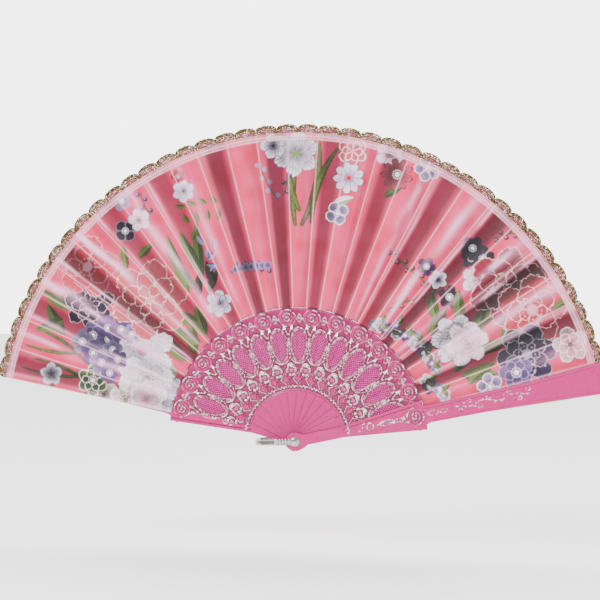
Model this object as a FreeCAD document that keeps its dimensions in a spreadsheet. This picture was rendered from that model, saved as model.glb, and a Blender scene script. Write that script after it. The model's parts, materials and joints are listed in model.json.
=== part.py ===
import FreeCAD, Part
import math
import os

import Sketcher

# A folding hand fan, opened flat. Its plane is XZ, its front looks along -Y, and the origin is the
# middle of the rivet. Sticks are counted from the rear guard (left, at the back) to the front guard
# (right, at the front): number 0 is the rear guard and LAST is the front guard. Each stick lies in a
# layer of its own, one step further forward than the stick before it.

INNER_STICKS = 12
LAST = INNER_STICKS + 1
SCALLOPS = 3
END_SCALLOPS = 2

SIZES = [
    ("front_guard_angle", 13.0),   # direction of the front guard above +X, in degrees
    ("stick_turn", 11.8),          # from one stick to the next when the fan is open, in degrees
    ("stick_thick", 1.3),
    ("guard_thick", 2.0),
    ("layer_gap", 0.2),            # between the faces of neighbouring sticks
    ("head_radius", 6.6),
    ("neck_width", 7.6),
    ("blade_half_angle", 6.4),     # the pierced blade widens at this angle to each side
    ("blade_end", 90.0),           # radius of the blade's shoulders
    ("rose_inset", 4.6),           # from the shoulder in to the centre of the rose at the blade's end
    ("rose_radius", 6.7),
    ("rib_width", 7.0),            # the narrow upper part of an inner stick, behind the leaf
    ("rib_thick", 0.6),
    ("rib_margin", 3.0),           # the ribs stop this far short of the leaf's edge
    ("crescent_at", 52.6),         # see-through half moon in each blade
    ("crescent_width", 3.2),
    ("crescent_radius", 1.9),
    ("prong_inset", 12.4),         # from the shoulder in to a pair of see-through triangles
    ("prong_side", 1.5),
    ("prong_width", 1.7),
    ("prong_length", 3.4),
    ("leaf_gap", 2.4),             # from the blades' shoulders to the leaf's inner edge
    ("leaf_outer", 211.0),
    ("leaf_thick", 0.3),
    ("leaf_recess", 0.1),          # the leaf lies this far below the rear guard's front face
    ("lace_depth", 5.5),           # from the leaf's edge to the valleys of the scallops
    ("lace_wave", 3.0),            # height of a scallop above its valleys
    ("strip_root_half", 5.8),      # half widths of a guard's upper strip
    ("strip_mid_half", 7.5),
    ("strip_tip_half", 10.8),
    ("strip_flare", 50.0),         # the strip widens faster over this length before its tip
    ("guard_over", 1.5),           # a guard's rounded tip stands this far past the lace
    ("tip_crown", 6.0),            # height of the tip's rounding
    ("rivet_radius", 1.5),
    ("rivet_clearance", 0.05),
    ("rivet_head_radius", 2.7),
    ("rivet_head_height", 1.1),
    ("bail_angle", 182.0),         # direction of the bail above +X, in degrees
    ("bail_thick", 0.8),
    ("bail_width", 4.8),
    ("bail_eye_radius", 3.3),
    ("bail_reach", 28.0),          # from the rivet to the outside of the bail's closed end
    ("bail_corner", 4.0),
    ("bail_gap", 0.15),            # on each side of the bail's arms
]

doc = FreeCAD.newDocument("hand_fan")
sheet = doc.addObject("Spreadsheet::Sheet", "Sizes")
for row, (alias, value) in enumerate(SIZES, start=1):
    sheet.set(f"A{row}", alias)
    sheet.set(f"B{row}", str(value))
    sheet.setAlias(f"B{row}", alias)
doc.recompute()

# Distances that several pieces share, as expressions of the sheet.
LAYER_STEP = "(Sizes.stick_thick + Sizes.layer_gap)"
GUARD_STEP = "(Sizes.stick_thick / 2 + Sizes.guard_thick / 2 + Sizes.layer_gap)"
GUARD_LAYER = f"({(INNER_STICKS - 1) / 2} * {LAYER_STEP} + {GUARD_STEP})"
ARM_INSIDE = f"({GUARD_LAYER} + Sizes.guard_thick / 2 + Sizes.bail_gap)"
ARM_OUTSIDE = f"({ARM_INSIDE} + Sizes.bail_thick)"
RIVET_SEAT = f"({ARM_OUTSIDE} + Sizes.bail_gap)"
RIVET_TOP = f"({RIVET_SEAT} + Sizes.rivet_head_height)"
HOLE_RADIUS = "(Sizes.rivet_radius + Sizes.rivet_clearance)"
PANEL_HALF = "(Sizes.stick_turn / 4)"
LACE_VALLEY = "(Sizes.leaf_outer + Sizes.lace_depth)"
LACE_EDGE = f"({LACE_VALLEY} + Sizes.lace_wave)"
GUARD_REACH = f"({LACE_EDGE} + Sizes.guard_over)"
LEAF_INNER = "(Sizes.blade_end + Sizes.leaf_gap)"
ROSE_CENTRE = "(Sizes.blade_end - Sizes.rose_inset)"
PRONG_AT = "(Sizes.blade_end - Sizes.prong_inset)"
STRIP_THICK = "(Sizes.guard_thick - Sizes.leaf_thick - Sizes.leaf_recess)"


def layer(number):
    """Y of the middle of a stick."""
    if number == 0:
        return GUARD_LAYER
    if number == LAST:
        return f"(0 - {GUARD_LAYER})"
    return f"({(INNER_STICKS + 1) / 2 - number} * {LAYER_STEP})"


def direction(number):
    """Angle of a stick above +X when the fan is open, in degrees."""
    return f"(Sizes.front_guard_angle + {LAST - number} * Sizes.stick_turn)"


def cloth_layer(number):
    """Y of the middle of the cloth that is glued to a stick."""
    if number == 0:
        return f"({layer(0)} - Sizes.guard_thick / 2 + Sizes.leaf_recess + Sizes.leaf_thick / 2)"
    if number == LAST:
        return f"({layer(LAST)} + Sizes.guard_thick / 2 + Sizes.leaf_thick / 2)"
    return f"({layer(number)} + Sizes.stick_thick / 2 - Sizes.rib_thick - Sizes.leaf_thick / 2)"


def minus(expression):
    return f"(0 - {expression})"


def amount(expression):
    """The number that an expression of the sheet stands for."""
    result = sheet.evalExpression(expression.replace("Sizes.", ""))
    return float(getattr(result, "Value", result))


def new_body(label, angle="0", y="0"):
    """A body that is turned about the rivet's axis and lies in its own layer."""
    body = doc.addObject("PartDesign::Body", label)
    body.Label = label
    front = FreeCAD.Rotation(FreeCAD.Vector(0, -1, 0), 1)
    body.Placement = FreeCAD.Placement(FreeCAD.Vector(), front)
    body.setExpression(".Placement.Rotation.Angle", f"{angle} * 1 deg")
    body.setExpression(".Placement.Base.y", f"{y} * 1 mm")
    return body


def new_sketch(body, name, role="XZ_Plane", back="0"):
    """A sketch on an origin plane of the body; on the XZ plane, back moves it along +Y."""
    plane = next(item for item in body.Origin.OriginFeatures if item.Role == role)
    sketch = body.newObject("Sketcher::SketchObject", f"{body.Name}_{name}")
    sketch.AttachmentSupport = [(plane, "")]
    sketch.MapMode = "FlatFace"
    if back != "0":
        sketch.setExpression(".AttachmentOffset.Base.z", f"(0 - {back}) * 1 mm")
    return sketch


def constrain(sketch, kind, elements, expression):
    sketch.addConstraint(Sketcher.Constraint(kind, *elements, amount(expression)))
    sketch.setExpression(f"Constraints[{sketch.ConstraintCount - 1}]", f"{expression} * 1 mm")


def add_circle(sketch, x, radius):
    """A circle with its centre on the sketch's first axis."""
    centre = FreeCAD.Vector(amount(x), 0, 0)
    circle = Part.Circle(centre, FreeCAD.Vector(0, 0, 1), amount(radius))
    index = sketch.addGeometry(circle)
    sketch.addConstraint(Sketcher.Constraint("PointOnObject", index, 3, -1))
    constrain(sketch, "DistanceX", (-1, 1, index, 3), x)
    constrain(sketch, "Radius", (index,), radius)


def arc_between(start, end, radius):
    """An arc that bulges to the right of the way from start to end, or left if radius is negative.

    It is always drawn anticlockwise, so a left one runs from end to start.
    """
    chord = end - start
    left = FreeCAD.Vector(-chord.y, chord.x, 0).normalize()
    depth = math.copysign(math.sqrt(radius**2 - (chord.Length / 2) ** 2), radius)
    centre = (start + end) / 2 + left * depth
    first, last = (start, end) if radius > 0 else (end, start)
    angles = [math.atan2(p.y - centre.y, p.x - centre.x) for p in (first, last)]
    circle = Part.Circle(centre, FreeCAD.Vector(0, 0, 1), abs(radius))
    return Part.ArcOfCircle(circle, *angles)


def add_outline(sketch, corners, radii=None):
    """A closed outline, anticlockwise.

    radii gives the edges that are arcs their radius, negative for an arc that curves inward.
    """
    radii = radii or {}
    points = [FreeCAD.Vector(amount(x), amount(y), 0) for x, y in corners]
    ends = []
    for number, start in enumerate(points):
        end = points[(number + 1) % len(points)]
        radius = amount(radii[number]) if number in radii else 0
        edge = arc_between(start, end, radius) if radius else Part.LineSegment(start, end)
        index = sketch.addGeometry(edge)
        ends.append((index, 2, 1) if radius < 0 else (index, 1, 2))
    for number, (index, first, _) in enumerate(ends):
        before, _, last = ends[number - 1]
        sketch.addConstraint(Sketcher.Constraint("Coincident", before, last, index, first))
        x, y = corners[number]
        constrain(sketch, "DistanceX", (-1, 1, index, first), x)
        constrain(sketch, "DistanceY", (-1, 1, index, first), y)
    for number, radius in radii.items():
        constrain(sketch, "Radius", (ends[number][0],), f"abs({radius})")


def pad(body, sketch, thickness):
    """Thickness is shared evenly between the two sides of the sketch."""
    feature = body.newObject("PartDesign::Pad", f"{sketch.Name}_pad")
    feature.Profile = sketch
    feature.Midplane = True
    feature.setExpression("Length", f"{thickness} * 1 mm")


def pocket_through(body, sketch):
    feature = body.newObject("PartDesign::Pocket", f"{sketch.Name}_pocket")
    feature.Profile = sketch
    feature.Type = "ThroughAll"
    feature.Midplane = True


def at_radius(radius, angle):
    """The two coordinates of a point at a radius and an angle, as expressions."""
    return f"({radius} * cos({angle}))", f"({radius} * sin({angle}))"


def add_lower_part(body, hole_radius):
    """Head, neck and widening blade, which all the sticks share."""
    thick = "Sizes.guard_thick" if body.Name.endswith("guard") else "Sizes.stick_thick"
    head = new_sketch(body, "head")
    add_circle(head, "0", "Sizes.head_radius")
    pad(body, head, thick)
    blade = new_sketch(body, "blade")
    half = "(Sizes.neck_width / 2)"
    widens_at = f"({half} / tan(Sizes.blade_half_angle))"
    outer_x, outer_y = at_radius("Sizes.blade_end", "Sizes.blade_half_angle")
    corners = [("0", minus(half)), (widens_at, minus(half)), (outer_x, minus(outer_y)),
               (outer_x, outer_y), (widens_at, half), ("0", half)]
    add_outline(blade, corners)
    pad(body, blade, thick)
    rose = new_sketch(body, "rose")
    add_circle(rose, ROSE_CENTRE, "Sizes.rose_radius")
    pad(body, rose, thick)
    hole = new_sketch(body, "hole")
    add_circle(hole, "0", hole_radius)
    pocket_through(body, hole)


def add_rib(body):
    """The thin upper part of an inner stick, flush with the blade's back."""
    back = "(Sizes.stick_thick / 2 - Sizes.rib_thick / 2)"
    sketch = new_sketch(body, "rib", back=back)
    half = "(Sizes.rib_width / 2)"
    root = ROSE_CENTRE
    tip = f"(Sizes.leaf_outer - Sizes.rib_margin - {half})"
    corners = [(root, minus(half)), (tip, minus(half)), (tip, half), (root, half)]
    add_outline(sketch, corners, {1: f"({half} * 1.01)"})
    pad(body, sketch, "Sizes.rib_thick")


def add_openings(body):
    """The half moon and the two small triangles that are pierced through a blade."""
    half = "(Sizes.crescent_width / 2)"
    moon = new_sketch(body, "moon")
    corners = [("Sizes.crescent_at", half), ("Sizes.crescent_at", minus(half))]
    add_outline(moon, corners, {1: "Sizes.crescent_radius"})
    pocket_through(body, moon)
    for name, sign in (("upper", 1), ("lower", -1)):
        prong = new_sketch(body, f"{name}_prong")
        near = f"({sign} * Sizes.prong_side)"
        far = f"({sign} * (Sizes.prong_side + Sizes.prong_width))"
        tip = f"({PRONG_AT} + Sizes.prong_length)"
        corners = [(PRONG_AT, near), (tip, far), (PRONG_AT, far)]
        add_outline(prong, corners if sign > 0 else corners[::-1])
        pocket_through(body, prong)


def add_strip(body, thickness, back):
    """The long flaring strip above a guard's blade."""
    strip = new_sketch(body, "strip", back=back)
    sides = [(ROSE_CENTRE, "Sizes.strip_root_half"),
             (f"({GUARD_REACH} - Sizes.strip_flare)", "Sizes.strip_mid_half"),
             (f"({GUARD_REACH} - Sizes.tip_crown)", "Sizes.strip_tip_half")]
    corners = [(x, minus(y)) for x, y in sides] + sides[::-1]
    tip_radius = "((Sizes.strip_tip_half ^ 2 + Sizes.tip_crown ^ 2) / (2 * Sizes.tip_crown))"
    add_outline(strip, corners, {2: tip_radius})
    pad(body, strip, thickness)


def make_rear_guard():
    body = new_body("rear_guard", direction(0), layer(0))
    add_lower_part(body, "Sizes.rivet_radius")
    add_strip(body, STRIP_THICK, f"((Sizes.guard_thick - {STRIP_THICK}) / 2)")
    return body


def make_front_guard():
    body = new_body("front_guard", direction(LAST), layer(LAST))
    add_lower_part(body, HOLE_RADIUS)
    add_strip(body, "Sizes.guard_thick", "0")
    return body


def make_stick(number):
    body = new_body(f"stick_{number:02d}", direction(number), layer(number))
    add_lower_part(body, HOLE_RADIUS)
    add_rib(body)
    add_openings(body)
    return body


def add_disc(name, radius, start, angle, x="0"):
    """A flat cloth-thick disc, or a sector of one, about the rivet or about a point at radius x."""
    disc = doc.addObject("Part::Cylinder", name)
    disc.setExpression("Radius", f"{radius} * 1 mm")
    disc.setExpression("Height", "Sizes.leaf_thick * 1 mm")
    disc.setExpression("Angle", f"{angle} * 1 deg")
    disc.setExpression(
        ".Placement.Rotation",
        f"create(<<rotation>>; create(<<vector>>; 0; 0 - 1; 0); {start} * 1 deg)"
        " * create(<<rotation>>; create(<<vector>>; 1; 0; 0); 90 deg)")
    disc.setExpression(".Placement.Base.x", f"{x} * cos({start}) * 1 mm")
    disc.setExpression(".Placement.Base.z", f"{x} * sin({start}) * 1 mm")
    disc.setExpression(".Placement.Base.y", "Sizes.leaf_thick / 2 * 1 mm")
    return disc


def add_band(name, inner, outer, half):
    """A flat band of cloth between two radii, the same angle to both sides of the first axis."""
    band = doc.addObject("Part::Cut", name)
    band.Base = add_disc(f"{name}_outside", outer, minus(half), f"(2 * {half})")
    band.Tool = add_disc(f"{name}_inside", inner, minus(half), f"(2 * {half})")
    return band


def lay(cloth, angle, y):
    """Turns a piece of cloth about the rivet's axis and moves it to its layer."""
    front = FreeCAD.Rotation(FreeCAD.Vector(0, -1, 0), 1)
    cloth.Placement = FreeCAD.Placement(FreeCAD.Vector(), front)
    cloth.setExpression(".Placement.Rotation.Angle", f"{angle} * 1 deg")
    cloth.setExpression(".Placement.Base.y", f"{y} * 1 mm")


def make_leaf_panel(number):
    """The panel of the leaf that is glued to one stick."""
    panel = add_band(f"leaf_panel_{number:02d}", LEAF_INNER, "Sizes.leaf_outer", PANEL_HALF)
    lay(panel, direction(number), cloth_layer(number))
    return panel


def make_leaf_pleat(number):
    """The free panel of the leaf between a stick and the next one."""
    pleat = add_band(f"leaf_pleat_{number:02d}", LEAF_INNER, "Sizes.leaf_outer", PANEL_HALF)
    angle = f"({direction(number)} - Sizes.stick_turn / 2)"
    lay(pleat, angle, f"(({cloth_layer(number)} + {cloth_layer(number + 1)}) / 2)")
    return pleat


def make_lace(number):
    """The scalloped trim along the leaf's edge, over one stick's share of the leaf."""
    before = PANEL_HALF if number == 0 else "(Sizes.stick_turn / 2)"
    after = PANEL_HALF if number == LAST else "(Sizes.stick_turn / 2)"
    waves = END_SCALLOPS if number in (0, LAST) else SCALLOPS
    half = f"(({before} + {after}) / 2)"
    name = f"lace_{number:02d}"
    lace = doc.addObject("Part::Common", name)
    lace.Base = add_band(f"{name}_band", "Sizes.leaf_outer", LACE_EDGE, half)
    wave_half = f"({half} / {waves})"
    chord_half = f"({LACE_VALLEY} * sin({wave_half}))"
    rise = f"({LACE_EDGE} - {LACE_VALLEY} * cos({wave_half}))"
    wave_radius = f"(({chord_half} ^ 2 + {rise} ^ 2) / (2 * {rise}))"
    wave_centre = f"({LACE_EDGE} - {wave_radius})"
    outline = doc.addObject("Part::MultiFuse", f"{name}_outline")
    shapes = [add_disc(f"{name}_valleys", LACE_VALLEY, minus(half), f"(2 * {half})")]
    for wave in range(waves):
        turn = f"({2 * wave + 1 - waves} * {wave_half})"
        shapes.append(add_disc(f"{name}_scallop_{wave}", wave_radius, turn, "360", wave_centre))
    outline.Shapes = shapes
    lace.Tool = outline
    angle = f"({direction(number)} + ({before} - {after}) / 2)"
    lay(lace, angle, cloth_layer(number))
    return lace


def revolve(body, sketch):
    feature = body.newObject("PartDesign::Revolution", f"{sketch.Name}_turned")
    feature.Profile = sketch
    feature.ReferenceAxis = (sketch, ["V_Axis"])
    feature.Angle = 360


def make_rivet():
    """The pin through all the heads, with its domed head in front of the bail's front arm."""
    body = new_body("rivet")
    sketch = new_sketch(body, "profile", "XY_Plane")
    end = RIVET_TOP
    corners = [("0", minus(RIVET_TOP)), ("Sizes.rivet_head_radius", minus(RIVET_SEAT)),
               ("Sizes.rivet_radius", minus(RIVET_SEAT)), ("Sizes.rivet_radius", end), ("0", end)]
    dome = ("((Sizes.rivet_head_radius ^ 2 + Sizes.rivet_head_height ^ 2)"
            " / (2 * Sizes.rivet_head_height))")
    add_outline(sketch, corners, {0: dome})
    revolve(body, sketch)
    return body


def make_rivet_cap():
    """The domed ring that is pressed on the rivet's end behind the bail's rear arm."""
    body = new_body("rivet_cap")
    sketch = new_sketch(body, "profile", "XY_Plane")
    rim = "(Sizes.rivet_head_height / 2)"
    corners = [("Sizes.rivet_radius", RIVET_SEAT), ("Sizes.rivet_head_radius", RIVET_SEAT),
               ("Sizes.rivet_head_radius", f"({RIVET_SEAT} + {rim})"),
               ("Sizes.rivet_radius", RIVET_TOP)]
    add_outline(sketch, corners)
    revolve(body, sketch)
    return body


def make_bail():
    """The metal loop that takes a tassel cord: a strap bent round the stack, with two eyes."""
    body = new_body("bail", "Sizes.bail_angle")
    loop = new_sketch(body, "loop", "XY_Plane")
    reach = "Sizes.bail_reach"
    corner_in = "(Sizes.bail_corner - Sizes.bail_thick)"
    turns_at = f"({reach} - Sizes.bail_corner)"
    inside_end = f"({reach} - Sizes.bail_thick)"
    front_corner = f"({ARM_OUTSIDE} - Sizes.bail_corner)"
    outside = [("0", minus(ARM_OUTSIDE)), (turns_at, minus(ARM_OUTSIDE)),
               (reach, minus(front_corner)), (reach, front_corner),
               (turns_at, ARM_OUTSIDE), ("0", ARM_OUTSIDE)]
    inside = [("0", ARM_INSIDE), (turns_at, ARM_INSIDE), (inside_end, front_corner),
              (inside_end, minus(front_corner)), (turns_at, minus(ARM_INSIDE)),
              ("0", minus(ARM_INSIDE))]
    add_outline(loop, outside + inside, {1: "Sizes.bail_corner", 3: "Sizes.bail_corner",
                                         7: minus(corner_in), 9: minus(corner_in)})
    pad(body, loop, "Sizes.bail_width")
    for name, side in (("rear", 1), ("front", -1)):
        middle = f"({side} * ({ARM_INSIDE} + Sizes.bail_thick / 2))"
        eye = new_sketch(body, f"{name}_eye", back=middle)
        add_circle(eye, "0", "Sizes.bail_eye_radius")
        pad(body, eye, "Sizes.bail_thick")
    hole = new_sketch(body, "hole")
    add_circle(hole, "0", HOLE_RADIUS)
    pocket_through(body, hole)
    return body


bodies = [make_rear_guard(), make_front_guard(), make_rivet(), make_rivet_cap(), make_bail()]
for number in range(1, LAST):
    bodies.append(make_stick(number))
for number in range(LAST + 1):
    bodies.append(make_leaf_panel(number))
    bodies.append(make_lace(number))
for number in range(LAST):
    bodies.append(make_leaf_pleat(number))

doc.recompute()

faults = [item.Name for item in doc.Objects if {"Invalid", "Error"} & set(item.State)]
for body in bodies:
    if body.Shape.isNull() or not body.Shape.isValid() or len(body.Shape.Solids) != 1:
        faults.append(body.Label)
if faults:
    raise RuntimeError("failed objects: " + ", ".join(faults))

os.makedirs("parts", exist_ok=True)
for body in bodies:
    body.Shape.exportStep(f"parts/{body.Label}.step")
print(f"{len(bodies)} parts written")
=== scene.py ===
import json
import math

import bpy
import numpy as np
from mathutils import Matrix, Vector


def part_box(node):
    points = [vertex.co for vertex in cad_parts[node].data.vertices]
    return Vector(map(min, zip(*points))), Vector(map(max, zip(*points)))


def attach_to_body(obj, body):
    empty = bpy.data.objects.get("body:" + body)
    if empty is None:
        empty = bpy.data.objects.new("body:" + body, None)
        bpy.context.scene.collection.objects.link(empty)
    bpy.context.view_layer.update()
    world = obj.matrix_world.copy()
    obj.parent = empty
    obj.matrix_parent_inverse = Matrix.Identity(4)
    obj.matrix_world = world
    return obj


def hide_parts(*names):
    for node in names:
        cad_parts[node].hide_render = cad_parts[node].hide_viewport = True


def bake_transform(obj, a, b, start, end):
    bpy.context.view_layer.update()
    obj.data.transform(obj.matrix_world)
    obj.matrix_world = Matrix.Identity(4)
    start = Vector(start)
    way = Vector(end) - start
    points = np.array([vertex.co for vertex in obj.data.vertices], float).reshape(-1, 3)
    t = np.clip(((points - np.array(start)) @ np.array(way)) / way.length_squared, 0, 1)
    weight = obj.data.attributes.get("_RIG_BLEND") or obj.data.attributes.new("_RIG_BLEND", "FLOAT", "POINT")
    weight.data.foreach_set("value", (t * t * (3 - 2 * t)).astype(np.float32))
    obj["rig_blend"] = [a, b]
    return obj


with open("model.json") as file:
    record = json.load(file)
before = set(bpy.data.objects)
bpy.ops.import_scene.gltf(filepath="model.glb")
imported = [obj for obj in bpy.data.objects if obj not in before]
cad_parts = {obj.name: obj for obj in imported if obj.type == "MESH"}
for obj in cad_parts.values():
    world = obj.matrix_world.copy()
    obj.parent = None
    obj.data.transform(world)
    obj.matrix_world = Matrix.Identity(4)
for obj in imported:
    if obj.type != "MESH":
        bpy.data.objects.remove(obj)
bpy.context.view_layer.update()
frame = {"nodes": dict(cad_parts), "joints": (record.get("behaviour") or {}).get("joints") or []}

# ------------------------------ sizes, in millimetres and degrees
# The fan lies open in the XZ plane with its front towards -Y. A place on it is a radius from the
# rivet and an angle above +X. "axial" and "side" are measured along and across one stick.

MM = 0.001
FOLDS = [joint for joint in frame["joints"] if joint["name"].startswith("fold")]
LAST = len(FOLDS)  # number of the front guard; the rear guard is 0
TURN = FOLDS[0]["range_deg"][1]  # from one stick to the next


def layers(node):
    """Y of a node's front and back faces."""
    low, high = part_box(node)
    return low.y / MM, high.y / MM


def reach(node):
    """Least and greatest radius of a node."""
    radii = [math.hypot(v.co.x, v.co.z) / MM for v in frame["nodes"][node].data.vertices]
    return min(radii), max(radii)


def middle_angle(node):
    """Direction of a node's outer end, from the points in its last 8 mm."""
    outer = reach(node)[1] - 8
    far = [v.co for v in frame["nodes"][node].data.vertices if math.hypot(v.co.x, v.co.z) / MM > outer]
    angles = [math.degrees(math.atan2(co.z, co.x)) for co in far]
    return (min(angles) + max(angles)) / 2


REAR_ANGLE = middle_angle("rear_guard")
LEAF_INNER, LEAF_OUTER = reach("leaf_panel_06")
LACE_EDGE = reach("lace_06")[1]
GUARD_REACH = reach("front_guard")[1]
RIB_TIP = reach("stick_06")[1]
PANEL_HALF = TURN / 4
HEAD_RADIUS = 6.6
NECK_HALF = 3.8
BLADE_HALF_ANGLE = 6.4
BLADE_SLOPE = math.sin(math.radians(BLADE_HALF_ANGLE))
ROSE_AT, ROSE_RADIUS = 85.4, 6.7
RIB_HALF = 3.5
STICK_HALF_THICK, GUARD_HALF_THICK = 0.65, 1.0
RELIEF = 0.35  # height of the moulded ornament
CLOTH = 0.2  # thickness of the satin


def direction(number):
    return REAR_ANGLE - number * TURN


def body_name(number):
    return {0: "rear_guard", LAST: "front_guard"}.get(number, f"stick_{number:02d}")


def smooth(low, high, value):
    """0 below low, 1 above high, and a smooth rise between them."""
    share = np.clip((value - low) / (high - low), 0, 1)
    return share * share * (3 - 2 * share)


def mixed(first, second, share):
    """From the first value to the second by a share from 0 to 1."""
    return first * (1 - share) + second * share


def ridge(distance, half_width):
    """A rounded ridge: 1 on its line, 0 from half_width on."""
    return np.sqrt(np.clip(1 - (distance / half_width) ** 2, 0, 1))


def row_points(radius, angle, y):
    """Row-frame points in metres from radii, angles and depths."""
    turn = np.radians(angle)
    return np.stack([radius * np.cos(turn), y, radius * np.sin(turn)], -1) * MM


def lattice(x, z, seed):
    """A repeatable number from 0 to 1 for each whole-number place."""
    value = np.sin(x * 127.1 + z * 311.7 + seed * 74.7) * 43758.5453
    return value - np.floor(value)


def noise(x, z, seed=0):
    """Smooth noise from 0 to 1 with a feature size of about 1."""
    x0, z0 = np.floor(x), np.floor(z)
    fx, fz = x - x0, z - z0
    fx, fz = fx * fx * (3 - 2 * fx), fz * fz * (3 - 2 * fz)
    low = mixed(lattice(x0, z0, seed), lattice(x0 + 1, z0, seed), fx)
    high = mixed(lattice(x0, z0 + 1, seed), lattice(x0 + 1, z0 + 1, seed), fx)
    return mixed(low, high, fz)


# ------------------------------ meshes

def shell(front, back, keep=None):
    """Points and faces of a plate with a front and a back grid, and walls where cells are left out."""
    rows, columns = front.shape[:2]
    count = rows * columns
    ids = np.arange(count).reshape(rows, columns)
    keep = np.ones((rows - 1, columns - 1), bool) if keep is None else keep
    a, b, c, d = ids[:-1, :-1], ids[:-1, 1:], ids[1:, 1:], ids[1:, :-1]
    faces = [np.stack([a, d, c, b], -1)[keep], np.stack([a, b, c, d], -1)[keep] + count]
    padded = np.pad(keep, 1)
    sides = ((padded[:-2, 1:-1], b, a), (padded[2:, 1:-1], d, c),
             (padded[1:-1, :-2], a, d), (padded[1:-1, 2:], c, b))
    for neighbour, first, last in sides:
        open_edge = keep & ~neighbour
        wall = np.stack([first, last, last + count, first + count], -1)
        faces.append(wall[open_edge])
    return np.concatenate([front.reshape(-1, 3), back.reshape(-1, 3)]), np.concatenate(faces)


def grid_uv(rows, columns, box):
    """UV places of a shell's front and back grids, side by side in a box of the map with a gap."""
    v, u = np.meshgrid(np.linspace(0, 1, rows), np.linspace(0, 1, columns), indexing="ij")
    left, low, right, high = box
    width = (right - left) / 2
    front = np.stack([left + u * width * 0.96, low + v * (high - low)], -1).reshape(-1, 2)
    back = front + np.array([width, 0])
    return np.concatenate([front, back])


def join(parts):
    """Joins (points, faces, uv, colour) tuples into one."""
    points, faces, uvs, colours = zip(*parts)
    starts = np.cumsum([0] + [len(part) for part in points[:-1]])
    faces = [part + start for part, start in zip(faces, starts)]
    return [np.concatenate(arrays) for arrays in (points, faces, uvs, colours)]


def make_mesh(name, points, faces, uv, colour):
    """A smooth mesh of quads with a UV map and a colour attribute, without unused points."""
    used, faces = np.unique(faces, return_inverse=True)
    faces = faces.reshape(-1, 4)
    points, uv, colour = points[used], uv[used], colour[used]
    mesh = bpy.data.meshes.new(name)
    mesh.vertices.add(len(points))
    mesh.vertices.foreach_set("co", points.astype(np.float32).ravel())
    mesh.loops.add(faces.size)
    mesh.loops.foreach_set("vertex_index", faces.astype(np.int32).ravel())
    mesh.polygons.add(len(faces))
    mesh.polygons.foreach_set("loop_start", np.arange(0, faces.size, 4, dtype=np.int32))
    mesh.update(calc_edges=True)
    mesh.validate()
    mesh.shade_smooth()
    layer = mesh.uv_layers.new(name="OFBake")
    corners = np.zeros(len(mesh.loops), np.int32)
    mesh.loops.foreach_get("vertex_index", corners)
    layer.data.foreach_set("uv", uv[corners].astype(np.float32).ravel())
    paint = mesh.color_attributes.new("Paint", "FLOAT_COLOR", "POINT")
    rgba = np.concatenate([colour, np.ones((len(colour), 1))], 1)
    paint.data.foreach_set("color", rgba.astype(np.float32).ravel())
    return mesh


def add_piece(name, mesh, material):
    piece = bpy.data.objects.new(name, mesh)
    bpy.context.scene.collection.objects.link(piece)
    if not mesh.materials:
        mesh.materials.append(material)
    return piece


# ------------------------------ materials

DEEPEN = 1.48


def linear(colour):
    """sRGB numbers from 0 to 255 as linear colour, deepened because the view transform pales it."""
    value = np.asarray(colour, float) / 255
    return np.where(value <= 0.04045, value / 12.92, ((value + 0.055) / 1.055) ** 2.4) ** DEEPEN


class Nodes:
    """Builds a node tree in few words."""

    def __init__(self, name):
        self.material = bpy.data.materials.new(name)
        self.material.use_nodes = True
        self.tree = self.material.node_tree
        self.shader = self.tree.nodes["Principled BSDF"]

    def add(self, kind, inputs=None, **settings):
        node = self.tree.nodes.new(kind)
        for key, value in settings.items():
            setattr(node, key, value)
        for key, value in (inputs or {}).items():
            self.put(node.inputs[key], value)
        return node

    def put(self, socket, value):
        if isinstance(value, bpy.types.NodeSocket):
            self.tree.links.new(value, socket)
        else:
            socket.default_value = value

    def mix(self, factor, first, second, blend="MIX"):
        """Mixes two colours, each a socket or sRGB numbers."""
        node = self.add("ShaderNodeMix", data_type="RGBA", blend_type=blend)
        for index, value in ((0, factor), (6, first), (7, second)):
            self.put(node.inputs[index], (*linear(value), 1.0) if isinstance(value, tuple) else value)
        return node.outputs[2]

    def math(self, operation, first, second=0.0, clamp=False):
        inputs = {0: first, 1: second}
        return self.add("ShaderNodeMath", inputs, operation=operation, use_clamp=clamp).outputs[0]

    def ramp(self, value, low, high, out_low=0.0, out_high=1.0):
        return self.add("ShaderNodeMapRange", {"Value": value, "From Min": low, "From Max": high,
                                               "To Min": out_low, "To Max": out_high}).outputs[0]

    def noise(self, scale, detail, place=None, rough=0.5):
        inputs = {"Scale": scale, "Detail": detail, "Roughness": rough}
        if place:
            inputs["Vector"] = place
        return self.add("ShaderNodeTexNoise", inputs).outputs["Fac"]

    def place(self, stretch=(1, 1, 1)):
        """The object's own coordinates, stretched."""
        coordinates = self.add("ShaderNodeTexCoord").outputs["Object"]
        return self.add("ShaderNodeMapping", {"Vector": coordinates, "Scale": stretch}).outputs[0]

    def paint(self):
        return self.add("ShaderNodeVertexColor", layer_name="Paint").outputs["Color"]

    def channels(self, colour):
        return self.add("ShaderNodeSeparateColor", {"Color": colour}).outputs

    def bump(self, height, strength, distance, normal=None):
        inputs = {"Height": height, "Strength": strength, "Distance": distance}
        if normal:
            inputs["Normal"] = normal
        return self.add("ShaderNodeBump", inputs).outputs[0]

    def surface(self, **values):
        for key, value in values.items():
            self.put(self.shader.inputs[key.replace("_", " ")], value)
        return self.material


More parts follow.
